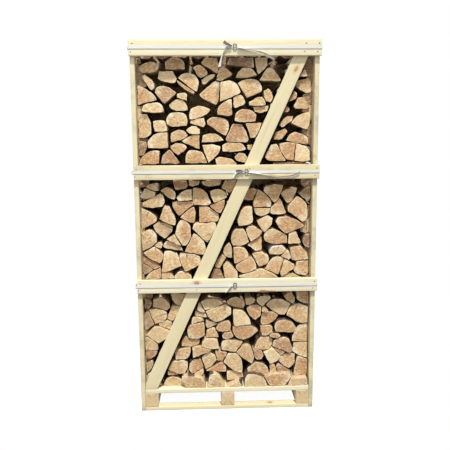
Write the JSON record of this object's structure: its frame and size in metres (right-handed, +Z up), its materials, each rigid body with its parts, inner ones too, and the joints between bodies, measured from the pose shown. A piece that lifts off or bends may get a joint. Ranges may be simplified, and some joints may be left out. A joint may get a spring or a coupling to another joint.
{
  "type": "firewood bundle",
  "caption": "Tall slatted crate of split firewood on a pallet, boards nailed across the log ends, with straps and wire buckles.",
  "frame": {"origin": "on the ground at the middle of the crate's footprint, on the underside of the middle bottom board", "axes": "+Z up, +X to the right seen from the front, the front with the visible brace faces -Y"},
  "size_m": [1.0162, 0.8498, 2.071],
  "materials": {
    "sawn_wood": "rough sawn pale softwood",
    "split_wood": "sawn log ends, split sides, bark",
    "strapping": "woven white strap",
    "wire": "dull galvanised wire"
  },
  "bodies": {
    "root": {"bottom_board_back": "sawn_wood", "bottom_board_front": "sawn_wood", "bottom_board_middle": "sawn_wood", "brace_back": "sawn_wood", "brace_front": "sawn_wood", "buckle_lower": "wire", "buckle_middle": "wire", "buckle_upper": "wire", "deck_board_1": "sawn_wood", "deck_board_2": "sawn_wood", "deck_board_3": "sawn_wood", "deck_board_4": "sawn_wood", "deck_board_5": "sawn_wood", "deck_board_6": "sawn_wood", "log_row_back": "split_wood", "log_row_front": "split_wood", "log_row_middle": "split_wood", "rail_back_lower": "sawn_wood", "rail_back_middle": "sawn_wood", "rail_back_upper": "sawn_wood", "rail_front_lower": "sawn_wood", "rail_front_middle": "sawn_wood", "rail_front_upper": "sawn_wood", "side_slat_left_1": "sawn_wood", "side_slat_left_2": "sawn_wood", "side_slat_left_3": "sawn_wood", "side_slat_left_4": "sawn_wood", "side_slat_left_5": "sawn_wood", "side_slat_left_6": "sawn_wood", "side_slat_right_1": "sawn_wood", "side_slat_right_2": "sawn_wood", "side_slat_right_3": "sawn_wood", "side_slat_right_4": "sawn_wood", "side_slat_right_5": "sawn_wood", "side_slat_right_6": "sawn_wood", "strap_lower": "strapping", "strap_middle": "strapping", "strap_tail_lower": "strapping", "strap_tail_middle_left": "strapping", "strap_tail_middle_right": "strapping", "strap_tail_upper_left": "strapping", "strap_tail_upper_right": "strapping", "strap_upper": "strapping", "stringer_left": "sawn_wood", "stringer_middle": "sawn_wood", "stringer_right": "sawn_wood", "upright_back_left": "sawn_wood", "upright_back_right": "sawn_wood", "upright_front_left": "sawn_wood", "upright_front_right": "sawn_wood"}
  },
  "joints": []
}
